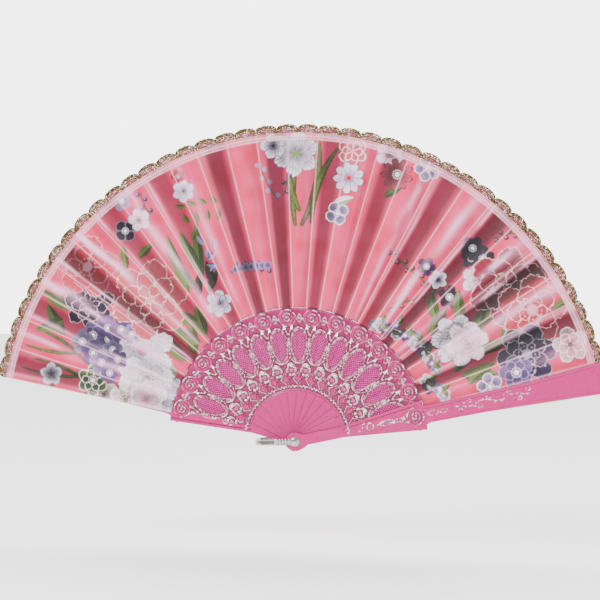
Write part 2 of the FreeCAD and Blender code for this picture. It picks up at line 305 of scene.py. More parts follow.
def plastic():
    """Glossy moulded plastic with worn silver foil on the raised lines, painted reflections in the foil, and
    painted shade in hollows and along edges.
    """
    n = Nodes("MouldedPlastic")
    foil, mesh_panel, height = n.channels(n.paint())[:3]
    place = n.place()
    mottle = n.ramp(n.noise(150, 2, place), 0.2, 0.8, 0.3, 0.7)
    base = n.mix(mottle, (205, 16, 140), (212, 20, 147))
    base = n.mix(mesh_panel, base, (224, 8, 168))
    # The third paint channel, read here as height, is the share left unshaded; the dark colour mixed in below
    # is painted shade.
    shade = n.ramp(height, 0.0, 0.6, 0.92, 0.0)
    base = n.mix(shade, base, (64, 2, 38))
    flakes = n.noise(1500, 2, place, 0.7)
    wear = n.noise(190, 3, place, 0.6)
    cover = n.math("MULTIPLY", n.ramp(flakes, 0.36, 0.5), n.ramp(wear, 0.34, 0.48))
    foil = n.math("MULTIPLY", foil, n.math("ADD", n.math("MULTIPLY", cover, 0.7), 0.2), True)
    # Painted reflections: the foil's colour is patches of dark and bright, standing in for what the foil
    # mirrors.
    painted_foil_reflection = n.mix(n.ramp(n.noise(780, 2, place), 0.42, 0.56), (58, 46, 52), (252, 250, 248))
    rough = n.ramp(mottle, 0.3, 0.7, 0.24, 0.34)
    fine = n.bump(n.noise(3800, 2, place), 0.06, 0.00002)
    return n.surface(Base_Color=n.mix(foil, base, painted_foil_reflection), Metallic=n.math("MULTIPLY", foil, 0.55),
                     Roughness=rough, Coat_Weight=0.2, Coat_Roughness=0.1, Specular_IOR_Level=0.35,
                     Normal=fine)


def satin():
    """Printed polyester satin: fine weave, long soft crumples and a silky highlight."""
    n = Nodes("PrintedSatin")
    paint = n.paint()
    place = n.place()
    streak = n.noise(60, 4, n.place((1, 1, 0.35)), 0.6)
    thread = n.noise(2600, 2, n.place((1, 1, 0.25)))
    slub = n.noise(420, 3, n.place((0.3, 1, 1)))
    tone = n.math("ADD", n.ramp(streak, 0.3, 0.7, -0.05, 0.06), n.ramp(thread, 0.3, 0.7, -0.05, 0.05))
    lit = n.mix(n.math("ADD", tone, 0.5), (120, 120, 120), (255, 255, 255))
    colour = n.mix(0.5, paint, lit, "OVERLAY")
    fold = n.add("ShaderNodeAttribute", attribute_name="Fold").outputs["Fac"]
    normal = n.bump(fold, 1.0, 1.0)
    normal = n.bump(n.noise(85, 3, n.place((1, 1, 0.5)), 0.55), 0.35, 0.0016, normal)
    normal = n.bump(n.math("ADD", thread, slub), 0.25, 0.00006, normal)
    rough = n.ramp(n.noise(300, 3, place), 0.3, 0.7, 0.3, 0.44)
    return n.surface(Base_Color=colour, Roughness=rough, Normal=normal, Anisotropic=0.4,
                     Sheen_Weight=0.08, Sheen_Roughness=0.35, Specular_IOR_Level=0.4)


def gold():
    """Gold thread with faceted glitter and painted glints over painted shade in its gaps, and a pale pink net
    with painted glints between the cords.
    """
    n = Nodes("GoldThread")
    cloth, height = n.channels(n.paint())[1:3]
    place = n.place()
    glitter = n.add("ShaderNodeTexVoronoi", {"Vector": place, "Scale": 1700.0}).outputs["Color"]
    spark = n.channels(glitter)[0]
    base = n.mix(spark, (66, 52, 22), (160, 134, 70))
    # Painted glints: the brightest flecks turn near white.
    base = n.mix(n.ramp(spark, 0.84, 0.9), base, (255, 250, 226))
    # Painted shade in the low gaps between the cords.
    base = n.mix(n.ramp(height, 0.3, 0.75, 0.85, 0.0), base, (58, 42, 26))
    # Painted glints on the net as well.
    net = n.mix(n.ramp(spark, 0.8, 0.88), (226, 142, 158), (255, 246, 240))
    base = n.mix(cloth, base, net)
    facets = n.bump(n.channels(glitter)[1], 0.8, 0.00016)
    metal = n.math("MULTIPLY", n.math("SUBTRACT", 1.0, cloth), 0.55)
    return n.surface(Base_Color=base, Metallic=metal, Roughness=n.ramp(spark, 0, 1, 0.5, 0.22),
                     Normal=facets)


def metal():
    """Bright nickel plating with fine scratches and painted shade in its recesses."""
    n = Nodes("NickelPlate")
    height = n.channels(n.paint())[2]
    place = n.place()
    smear = n.noise(340, 4, place, 0.6)
    scratch = n.noise(2400, 3, n.place((0.12, 1, 1)))
    base = n.mix(smear, (176, 170, 166), (226, 224, 222))
    # Painted shade where the paint's third channel is low.
    base = n.mix(n.ramp(height, 0.0, 0.6, 0.8, 0.0), base, (58, 48, 50))
    return n.surface(Base_Color=base, Metallic=1.0, Roughness=n.ramp(smear, 0.3, 0.7, 0.14, 0.3),
                     Normal=n.bump(scratch, 0.2, 0.00003))


PLASTIC, SATIN, GOLD, METAL = plastic(), satin(), gold(), metal()

# ------------------------------ sticks and guards

# Places of the ornament along a blade, from the head outwards.
SHOULDER, BAND_AT, TILE_AT, RING_AT = 33.9, 37.4, 43.4, 49.0
MOON_AT, MOON_HALF, MOON_RADIUS = 52.6, 1.6, 1.9
LEGS_FROM, LEGS_TO = 53.6, 58.2
COLUMN_FROM, COLUMN_TO = 57.4, 75.2
PETAL_AT, PETAL_LONG = 66.3, 12.4
FORK_FROM, FORK_TO = 73.6, 81.8
PRONG_AT, PRONG_SIDE, PRONG_FAR, PRONG_TIP = 77.6, 1.5, 3.2, 81.0
ARCH_AT, BUD_AT = 79.2, 85.0
ROSE_RING = 6.3
BLADE_MAP, STRIP_MAP = (0, 0.3, 1, 1), (0, 0, 1, 0.27)  # boxes of the UV map


def on_stick(radius, angle):
    """Distances along and across a stick for a radius and an angle from its middle line."""
    turn = np.radians(angle)
    return radius * np.cos(turn), radius * np.sin(turn)


def zigzag(radius, side):
    """The zigzag band where the blade begins."""
    return ridge(radius - (BAND_AT + 1.3 * np.abs(((side / 1.25) % 2) - 1)), 0.75)


def oval(along, length, across, width):
    """1 on an oval's outline, less inside it and more outside."""
    return np.hypot(along / length, across / width)


def pierced(axial, side):
    """True inside the half moon and the two small triangles of a stick's blade."""
    moon_centre = MOON_AT - math.sqrt(MOON_RADIUS ** 2 - MOON_HALF ** 2)
    moon = (axial > MOON_AT) & (np.hypot(axial - moon_centre, side) < MOON_RADIUS)
    along = (axial - PRONG_AT) / (PRONG_TIP - PRONG_AT)
    across = np.abs(side)
    inner = PRONG_SIDE + along * (PRONG_FAR - PRONG_SIDE)
    prong = (along > 0) & (along < 1) & (across > inner) & (across < PRONG_FAR)
    return moon | prong


def blade_lines(radius, axial, side, off, petal):
    """The raised lines and fields below the rose, each with its share of foil."""
    across = np.abs(side)
    dots = 0.7 + 0.3 * np.sin(radius * 11) * np.sin(side * 11)
    tile = np.abs(radius - TILE_AT) / 4.6 + np.abs(off) / 3.5
    from_ring = np.hypot(axial - RING_AT, side)
    from_moon = np.hypot(axial - MOON_AT + 1.0, side)
    leg = np.abs(across - (LEGS_TO - axial) * 0.75) + 9 * ((axial < LEGS_FROM) | (axial > LEGS_TO))
    in_column = smooth(COLUMN_FROM, COLUMN_FROM + 0.8, axial) * smooth(COLUMN_TO, COLUMN_TO - 0.8, axial)
    bead = np.hypot(((axial / 1.5) % 1 - 0.5) * 1.5, side)
    fork = np.abs(across - (0.5 + (axial - FORK_FROM) * 0.36))
    fork = fork + 9 * ((axial < FORK_FROM) | (axial > FORK_TO))
    arch = oval(radius - ARCH_AT, 6.2, off, 5.2)
    bud = oval(radius - BUD_AT, 2.6, off, 1.5)
    return [(zigzag(radius, side) * dots, 1.0),
            (ridge(radius - 35.9, 0.3), 0.2),
            (ridge(tile - 1, 0.17) * dots, 0.95),
            (ridge(tile, 0.75) * 0.8, 0.0),
            (ridge(from_ring - 3.1, 0.8), 1.0),
            (ridge(from_ring, 1.9) * 0.9, 0.3),
            (ridge(from_moon - MOON_RADIUS - 0.45, 0.45) * (axial > 51.6), 1.0),
            (ridge(leg, 0.5), 0.9),
            (ridge(bead, 0.78) * in_column, 1.0),
            (ridge(petal - 1.0, 0.05), 0.9),
            (ridge(petal - 0.885, 0.035), 0.6),
            (ridge(fork, 0.42), 0.95),
            (ridge(across - PRONG_FAR - 0.3, 0.3) * (np.abs(axial - 79.4) < 2.2), 0.8),
            (ridge(arch - 1.0, 0.08) * (radius > 80), 0.95),
            (ridge(bud - 1.0, 0.3), 0.5),
            (ridge(bud, 0.5) * 0.8, 0.2)]


def rose_relief(rose, bearing, from_top):
    """Height and foil of the rose's swirling petals, its ring and the blade's rim."""
    swirl = np.abs(((rose / 2.1 + bearing / (2 * math.pi) + 0.12 * np.sin(bearing * 5)) % 1) - 0.5) * 2
    petals = np.where(rose < 5.0, 0.95 * (1 - swirl ** 3), 0)
    rim = np.where(rose < ROSE_RING, 0, 0.5 * ridge(from_top + 0.55, 0.5))
    ring = np.maximum(ridge(rose - 5.75, 0.62), rim)
    # The ring carries foil, heavier on two opposite arcs as a painted highlight.
    lit_arc = 0.55 + 0.45 * np.cos(bearing * 2 + 0.8)
    foil = np.maximum(smooth(0.5, 0.8, ring) * lit_arc, 0.75 * smooth(0.75, 0.9, petals) * (rose < 3.4))
    return np.maximum(petals, ring), foil


def beside(foil):
    """The narrow shadow round the foil: 1 right beside it and 0 on it."""
    grown = foil
    for axis in (0, 1):
        for step in (-4, -3, -2, -1, 1, 2, 3, 4):
            grown = np.maximum(grown, np.roll(foil, step, axis) * (1.25 - 0.12 * abs(step)))
    return np.clip(grown, 0, 1) * (1 - smooth(0.2, 0.6, foil))


def ornament(radius, angle, top):
    """Height, foil, mesh-panel and unshaded shares of a blade's moulded front; the last is painted shade,
    darkest at 0.
    """
    axial, side = on_stick(radius, angle)
    off = radius * np.sin(np.radians(np.abs(angle) - TURN / 2))
    petal = oval(radius - PETAL_AT, PETAL_LONG, off, 5.0 + 1.3 * smooth(56, 76, radius))
    rose, bearing = np.hypot(axial - ROSE_AT, side), np.arctan2(side, axial - ROSE_AT)
    inside_rose = rose < ROSE_RING
    height, foil = rose_relief(rose, bearing, radius - top)
    for value, share in blade_lines(radius, axial, side, off, petal):
        value = np.where(inside_rose, 0, value)
        foil = np.maximum(foil, share * smooth(0.35, 0.7, value))
        height = np.maximum(height, value)
    mesh_panel = smooth(0.83, 0.79, petal)
    pins = np.cos(2 * math.pi * (radius / 4.2 + off / 3.8)) * np.cos(2 * math.pi * (radius / 4.2 - off / 3.8))
    height = np.where(mesh_panel > 0.5, 0.8 - 0.8 * smooth(0.25, 0.5, np.abs(pins)), height)
    height = np.maximum(height, smooth(35.4, 34.8, radius))
    past_neck = smooth(34.9, 35.6, radius)
    foil = foil * past_neck
    deep = (mesh_panel > 0.5) | inside_rose
    # Painted shade: darker in the mesh panel's dots and the rose, right beside the foil, and along the
    # blade's outer edge.
    unshaded = np.where(deep, height, 0.34 + 0.66 * height) * (1 - 0.85 * beside(foil))
    unshaded = unshaded * (1 - 0.9 * smooth(0.75, 0.35, top - radius))
    return height, foil, mesh_panel * past_neck, unshaded


def guard_ornament(radius, angle):
    """The plainer front of a guard's blade: a bevel, a small scroll and thin lines by the rose."""
    axial, side = on_stick(radius, angle)
    edge = radius * BLADE_SLOPE
    height = 0.35 + 0.65 * smooth(edge - 2.1, edge - 1.5, side)
    foil = np.zeros_like(radius)
    lines = [zigzag(radius, side) * (np.abs(side) < edge - 1.4),
             ridge(side - 0.6 * np.sin(axial / 1.9), 0.36) * ((axial > 58) & (axial < 78)),
             ridge(np.hypot(axial - 46.4, side + 1.1) - 1.5, 0.5) * (side < -1.0 + (axial - 46) * 0.6),
             ridge(np.hypot(axial - 49.6, side - 1.1) - 1.5, 0.5) * (side > 1.0 - (50 - axial) * 0.6),
             ridge(np.hypot(axial - 53.4, side) - 2.2, 0.5),
             ridge(oval(axial - 66, 5.4, side, 1.7) - 1, 0.2),
             ridge(oval(axial - 75, 3.2, side, 1.2) - 1, 0.25),
             ridge(np.abs(side) - (axial - 76) * 0.55 - 0.6, 0.4) * ((axial > 76) & (axial < 81))]
    for line in lines:
        height = np.maximum(height, 0.35 + 0.65 * line)
        foil = np.maximum(foil, smooth(0.35, 0.7, line))
    return height, foil


def blade_top(angle):
    """Radius of a blade's outer edge: an arc just inside the leaf, or the rose where it stands out."""
    turn = np.radians(angle)
    flat = LEAF_INNER - 0.1 - 0.1 * smooth(5.2, 6.3, np.abs(angle))
    reach_in = ROSE_RADIUS ** 2 - (ROSE_AT * np.sin(turn)) ** 2
    rose = np.where(reach_in > 0, ROSE_AT * np.cos(turn) + np.sqrt(np.maximum(reach_in, 0)), 0)
    return np.maximum(flat, rose)


def rounding(gap, size=0.35, drop=0.3):
    """How far a face drops by its edge: `drop` there and 0 from `size` inside, along a round."""
    return (1 - np.sqrt(np.clip(1 - (1 - np.clip(gap / size, 0, 1)) ** 2, 0, 1))) * drop


def plate_paint(foil, mesh_panel, unshaded):
    """Colours of a plate's front grid, with a plain back."""
    front = np.stack([foil, mesh_panel, unshaded], -1).reshape(-1, 3)
    return np.concatenate([front, np.zeros_like(front) + (0, 0, 0.85)])


def plate(axial, side, front_y, back_y, keep=None):
    """A shell along +X from the Y of its front and back."""
    return shell(*(np.stack([axial, y, side], -1) * MM for y in (front_y, back_y)), keep)


def blade_parts(half_thick, plain_side=None):
    """Head, neck and blade along +X, about Y = 0. A stick's has openings; a guard's is plainer,
    on its outer side only (1) or all over (-1)."""
    columns, head_rows, low_rows, high_rows = 81, 22, 56, 200
    across = np.linspace(-1, 1, columns)
    inset = 1 - np.abs(across)
    low_axial = np.concatenate([-HEAD_RADIUS * np.cos(np.linspace(0.03, 1.3, head_rows)),
                                np.linspace(-1.4, SHOULDER - 0.2, low_rows - head_rows)])
    head = np.sqrt(np.clip(HEAD_RADIUS ** 2 - low_axial ** 2, 0.01, None))
    half = np.where(low_axial > 0, np.maximum(head, NECK_HALF), head)
    half += 0.5 * np.exp(-((low_axial - 5.6) / 1.6) ** 2)
    low_axial, half = np.repeat(low_axial[:, None], columns, 1), half[:, None]
    angle = np.repeat((BLADE_HALF_ANGLE * across)[None], high_rows, 0)
    top = blade_top(angle)
    radius = SHOULDER + (top - SHOULDER) * np.linspace(0, 1, high_rows)[:, None]
    height, foil, mesh_panel, unshaded = ornament(radius, angle, top)
    high_axial, high_side = on_stick(radius, angle)
    if plain_side:
        swap = smooth(6.2, 6.9, np.hypot(high_axial - ROSE_AT, high_side)) * smooth(34.0, 35.0, radius)
        if plain_side > 0:
            swap = swap * smooth(-0.4, 0.8, high_side)
        guard_height, guard_foil = guard_ornament(radius, angle)
        edge = radius * BLADE_SLOPE
        # Painted shade on a guard's plainer front: darker where it is lower, under the bevel and along its
        # lower edge.
        dark = np.maximum(ridge(high_side - edge + 2.2, 0.5), smooth(0.6, 0.2, high_side + edge))
        height, foil = mixed(height, guard_height, swap), mixed(foil, guard_foil, swap)
        unshaded = mixed(unshaded, 0.45 + 0.55 * guard_height, swap) * (1 - 0.8 * dark * swap)
        mesh_panel = mesh_panel * (1 - swap)
    axial = np.concatenate([low_axial, high_axial])
    side = np.concatenate([half * across, high_side])
    gap = np.concatenate([np.minimum(inset * half, low_axial + HEAD_RADIUS),
                          np.minimum(inset * radius * BLADE_SLOPE, top - radius)])
    blank = np.zeros_like(low_axial)
    # Painted shade along the side edges of the head and neck, between neighbouring sticks.
    head_neck_unshaded = 0.1 + 0.9 * smooth(0.0, 0.45, inset * half)
    pairs = (blank + 1, height), (blank, foil), (blank, mesh_panel), (head_neck_unshaded, unshaded)
    height, foil, mesh_panel, unshaded = (np.concatenate(pair) for pair in pairs)
    keep = None
    if not plain_side:
        keep = ~pierced((axial[1:, 1:] + axial[:-1, :-1]) / 2, (side[1:, 1:] + side[:-1, :-1]) / 2)
    front_y = -half_thick + RELIEF * (1 - height) + rounding(gap)
    points, faces = plate(axial, side, front_y, half_thick - rounding(gap), keep)
    return points, faces, grid_uv(*axial.shape, BLADE_MAP), plate_paint(foil, mesh_panel, unshaded)


def bar(axial, half, front_y, back_y, foil=None, unshaded=None, columns=33):
    """A long plate along +X: rows at `axial`, `half` wide, with Y given for each grid point."""
    side = half[:, None] * np.linspace(-1, 1, columns)
    axial = np.repeat(axial[:, None], columns, 1)
    points, faces = plate(axial, side, front_y(axial, side), back_y(axial, side))
    paint = plate_paint(foil(axial, side) if foil else np.zeros_like(side), np.zeros_like(side),
                        unshaded(axial, side) if unshaded else np.ones_like(side))
    return points, faces, grid_uv(*side.shape, STRIP_MAP), paint


def rib_part():
    """The thin rib behind the cloth, with a round tip."""
    axial = np.concatenate([np.linspace(84, RIB_TIP - RIB_HALF, 60),
                            RIB_TIP - RIB_HALF * (1 - np.sin(np.linspace(0.1, 1.54, 14)))])
    past = np.clip(axial - (RIB_TIP - RIB_HALF), 0, RIB_HALF)
    half = np.sqrt(np.clip(RIB_HALF ** 2 - past ** 2, 0.01, None))

    def drop(a, s):
        return rounding(np.interp(a, axial, half) - np.abs(s), 0.4, 0.15)

    def front_y(a, s):
        return 0.05 + drop(a, s)

    def back_y(a, s):
        return STICK_HALF_THICK - drop(a, s) - 0.06 * smooth(93.4, 92.6, a)

    return bar(axial, half, front_y, back_y, columns=13)


TIP_LONG, STRIP_HALF = 6.0, 10.8  # a strip's rounded end, and its half width there


def strip_half(axial, tip):
    """Half the width of a guard's strip, which ends at `tip`."""
    tip_start = tip - TIP_LONG
    half = np.interp(axial, [ROSE_AT, tip - 50, tip_start], [5.8, 7.5, STRIP_HALF])
    half = half + 4.4 * np.clip(1 - (axial - 87.5) / 9, 0, 1) ** 2
    crown = (STRIP_HALF ** 2 + TIP_LONG ** 2) / (2 * TIP_LONG)
    past = np.clip(axial - tip_start, 0, TIP_LONG - 0.01)
    end = np.sqrt(np.clip(crown ** 2 - (crown - TIP_LONG + past) ** 2, 0.02, None))
    return np.where(axial > tip_start, np.minimum(half, end), half)


def flourish(axial, side):
    """A thin scroll stamped along the outer part of the front guard."""
    start, end, curls, pitch = 113.0, 168.0, 8, 6.9
    along = (axial - start) / (end - start)
    inside = (along > 0) & (along < 1)
    wave = 1.5 * np.sin(axial / 3.4) * np.clip(1.2 - np.abs(along - 0.5) * 1.5, 0.2, 1)
    scroll = ridge(side - 0.6 - wave, 0.42)
    for number in range(curls):
        from_centre = axial - (start + 4 + number * pitch)
        hand = 1 if number % 2 else -1
        across = side - 0.6 - hand * 2.2
        distance, bearing = np.hypot(from_centre, across), np.arctan2(across, from_centre)
        spiral = np.abs(distance - 0.55 - 0.2 * (bearing * hand + math.pi))
        dot = np.hypot(from_centre - 3.2, (side - 0.6 + hand * 1.9) * 1.4)
        scroll = np.maximum(scroll, ridge(spiral, 0.32) * (distance < 1.9))
        scroll = np.maximum(scroll, ridge(dot, 0.8))
    ovals = np.maximum(ridge(oval(axial - 98, 3.6, side - 0.2, 1.7) - 1, 0.16),
                       ridge(oval(axial - 105.4, 2.6, side - 0.2, 1.2) - 1, 0.2))
    return np.where(inside, scroll, 0) + ovals


def guard_strip(front_at, fancy, tip):
    """The long strip of a guard; a fancy one has a bevel along its upper edge and a scroll."""
    axial = np.concatenate([np.arange(86.0, tip - TIP_LONG, 0.5),
                            tip - TIP_LONG * (1 - np.sin(np.linspace(0, 1.53, 16)))])
    half = strip_half(axial, tip)

    def edge(a):
        return np.interp(a, axial, half)

    def drop(a, s):
        return rounding(np.minimum(edge(a) - np.abs(s), np.clip(tip - a, 0, 9)))

    def tucked(a):
        """Keeps the strip's inner end just inside the blade."""
        return smooth(94.0, 93.0, a)

    def front_y(a, s):
        bevel = smooth(edge(a) - 2.0, edge(a) - 1.3, s)
        relief = 0.28 * (1 - bevel) - 0.2 * ridge(s + edge(a) - 0.9, 0.5)
        return front_at + relief * fancy + 0.08 * tucked(a) + drop(a, s)

    def back_y(a, s):
        return GUARD_HALF_THICK - 0.06 * tucked(a) - drop(a, s)

    # Painted shade under the bevel and along the strip's lower edge.
    def unshaded(a, s):
        return 1 - 0.75 * np.maximum(ridge(s - edge(a) + 2.1, 0.5), smooth(0.55, 0.15, s + edge(a)))

    def foil(a, s):
        return np.clip(flourish(a, s), 0, 1)

    return bar(axial, half, front_y, back_y, *((foil, unshaded) if fancy else (None, None)), 61)


def place_stick(piece, number):
    """Puts a stick or guard in its layer and direction, on its own body."""
    node = body_name(number)
    low, high = layers(node)
    piece.location.y = (low + high) / 2 * MM
    piece.rotation_euler = (0, -math.radians(direction(number)), 0)
    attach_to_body(piece, node)
    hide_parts(node)


STICK_MESH = make_mesh("StickMesh", *join([blade_parts(STICK_HALF_THICK), rib_part()]))
for number in range(1, LAST):
    place_stick(add_piece(f"Stick_{number:02d}", STICK_MESH, PLASTIC), number)

REAR_TIP = GUARD_REACH - 4.5  # it ends under the lace
for number, name, front_at, plain_side, tip in ((0, "Rear_Guard", -0.6, 1, REAR_TIP),
                                                (LAST, "Front_Guard", -1.0, -1, GUARD_REACH)):
    parts = [blade_parts(GUARD_HALF_THICK, plain_side), guard_strip(front_at, number == LAST, tip)]
    guard_mesh = make_mesh(f"{body_name(number)}_mesh", *join(parts))
    place_stick(add_piece(name, guard_mesh, PLASTIC), number)

# ------------------------------ bail and rivet

DOME_RADIUS, DOME_HIGH, SHAFT_RADIUS = 2.7, 1.1, 1.5
BAIL_THICK, BAIL_HALF, EYE, BAIL_CORNER = 0.8, 2.4, 3.3, 4.0
BEADS_FROM, BEADS_TO, BEADS = 2.9, 13.2, 5


def lathe(profile, centre_y, hand, box):
    """A round part about the Y axis from (radius, height) pairs; hand is -1 to rise to the front."""
    around = np.linspace(0, 2 * math.pi, 49)
    radius, height = (np.array(values)[:, None] for values in zip(*profile))
    x, z = radius * np.cos(around), radius * np.sin(around) * -hand
    y = centre_y + hand * height + 0 * around
    front = np.stack([x, y, z], -1) * MM
    inner = np.stack([x * 0.9, centre_y + 0 * y, z * 0.9], -1) * MM
    points, faces = shell(front, inner)
    return points, faces, grid_uv(*x.shape, box), np.zeros((len(points), 3)) + (0, 0, 1)


def dome_profile():
    turns = np.linspace(0, math.pi / 2, 14)
    cap = [(max(DOME_RADIUS * math.cos(t), 0.02), DOME_HIGH * (0.3 + 0.7 * math.sin(t))) for t in turns]
    return [(DOME_RADIUS, 0.0)] + cap


for node, hand in (("rivet", -1), ("rivet_cap", 1)):
    low, high = layers(node)
    seat = (low if hand < 0 else high) - hand * DOME_HIGH
    parts = [lathe(dome_profile(), seat, hand, (0, 0, 1, 0.5))]
    if node == "rivet":
        shaft = [(SHAFT_RADIUS, up) for up in (0.0, (high - seat) * 0.5, high - seat - 0.3)]
        parts.append(lathe(shaft, seat, 1, (0, 0.5, 1, 1)))
    piece = add_piece("Rivet" if node == "rivet" else "Rivet_Cap",
                      make_mesh(f"{node}_mesh", *join(parts)), METAL)
    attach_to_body(piece, "rear_guard")
    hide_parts(node)

bail_reach = reach("bail")[1]


def bail_mesh():
    """A strap bent round the stack, with a round eye at each end and beading on the front arm."""
    out = layers("bail")[1]
    turn_at = math.sqrt(bail_reach ** 2 - BAIL_HALF ** 2) - BAIL_CORNER
    corner = np.linspace(0, math.pi / 2, 13)[1:]
    straight = np.concatenate([-EYE * np.cos(np.linspace(0.05, 1.5, 12)), np.linspace(0.6, turn_at, 90)])
    arm = [(a, -out, 0.0, -1.0) for a in straight]
    bend = [(turn_at + BAIL_CORNER * math.sin(t), -out + BAIL_CORNER * (1 - math.cos(t)),
             math.sin(t), -math.cos(t)) for t in corner]
    middle = [(turn_at + BAIL_CORNER, y, 1.0, 0.0)
              for y in np.linspace(-out + BAIL_CORNER, 0, 12)[1:]]
    half_loop = arm + bend + middle
    loop = half_loop + [(a, -y, nx, -ny) for a, y, nx, ny in half_loop[-2::-1]]
    a, y, nx, ny = (np.array(v)[:, None] for v in zip(*loop))
    eye = np.sqrt(np.clip(EYE ** 2 - a ** 2, 0, None))
    half = np.where(a < 0, eye, np.maximum(eye, BAIL_HALF - 0.25 * smooth(3, 10, a)))
    half = half * np.sqrt(1 - 0.35 * smooth(turn_at + 1.0, turn_at + BAIL_CORNER, a))
    across = np.linspace(-1, 1, 17)
    side = half * across
    gap = np.minimum(half - np.abs(side), a + EYE)
    on_beads = (y < 0) & (a > BEADS_FROM) & (a < BEADS_TO)
    beads = np.abs(np.sin((a - BEADS_FROM) / (BEADS_TO - BEADS_FROM) * math.pi * BEADS))
    beads = np.where(on_beads, beads, 0) * smooth(half, half * 0.55, np.abs(side))
    slot = smooth(0.62, 0.42, np.abs(side) / half) * smooth(13.6, 14.4, a) * (y < 0)
    slot = slot * smooth(turn_at + 2.4, turn_at + 1.4, a)
    outer = 0.34 * beads - rounding(gap, 0.4) - 0.3 * slot
    inner = -BAIL_THICK + rounding(gap, 0.4)
    points, quads = shell(*(np.stack([a + nx * offset, y + ny * offset, side], -1) * MM
                            for offset in (outer, inner)))
    # Painted shade between the beads and in the sunk slot; this channel is the share left unshaded.
    dark = np.where(on_beads, beads, 1) * (1 - 0.95 * slot)
    colour = np.stack([0 * dark, 0 * dark, dark], -1).reshape(-1, 3)
    return points, quads, grid_uv(*side.shape, (0, 0, 1, 1)), np.concatenate([colour, colour])


bail = add_piece("Bail", make_mesh("bail_mesh", *bail_mesh()), METAL)
bail_far = np.mean([v.co[:] for v in frame["nodes"]["bail"].data.vertices
                    if math.hypot(v.co.x, v.co.z) / MM > bail_reach - 2], axis=0)
bail.rotation_euler = (0, -math.atan2(bail_far[2], bail_far[0]), 0)
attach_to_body(bail, "bail")
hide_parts("bail")

# ------------------------------ the printed pattern

WHITE, BLUSH, LILAC, PURPLE = (248, 242, 246), (238, 176, 194), (190, 172, 208), (104, 72, 122)
GREEN, LIGHT_GREEN, OLIVE, DARK_GREEN = (62, 90, 38), (144, 160, 96), (92, 84, 42), (34, 50, 30)
RED, HOT, SALMON, WINE = (196, 48, 78), (228, 96, 122), (222, 122, 134), (142, 36, 66)
DEEP_PURPLE, INK = (48, 32, 56), (44, 26, 54)
SATIN_LIGHT, SATIN_MID, SATIN_BACK = (234, 96, 142), (222, 62, 112), (236, 168, 182)
# GLEAM is the satin's painted highlight and the fold-line colour the painted highlight on its creases; HEM
# and STITCH are the hem's own colours.
GLEAM, CREASE_HIGHLIGHT, HEM, STITCH = (255, 208, 234), (250, 206, 216), (244, 196, 210), (248, 212, 222)


def spot(angle, radius):
    turn = math.radians(angle)
    return np.array([radius * math.cos(turn), radius * math.sin(turn)])


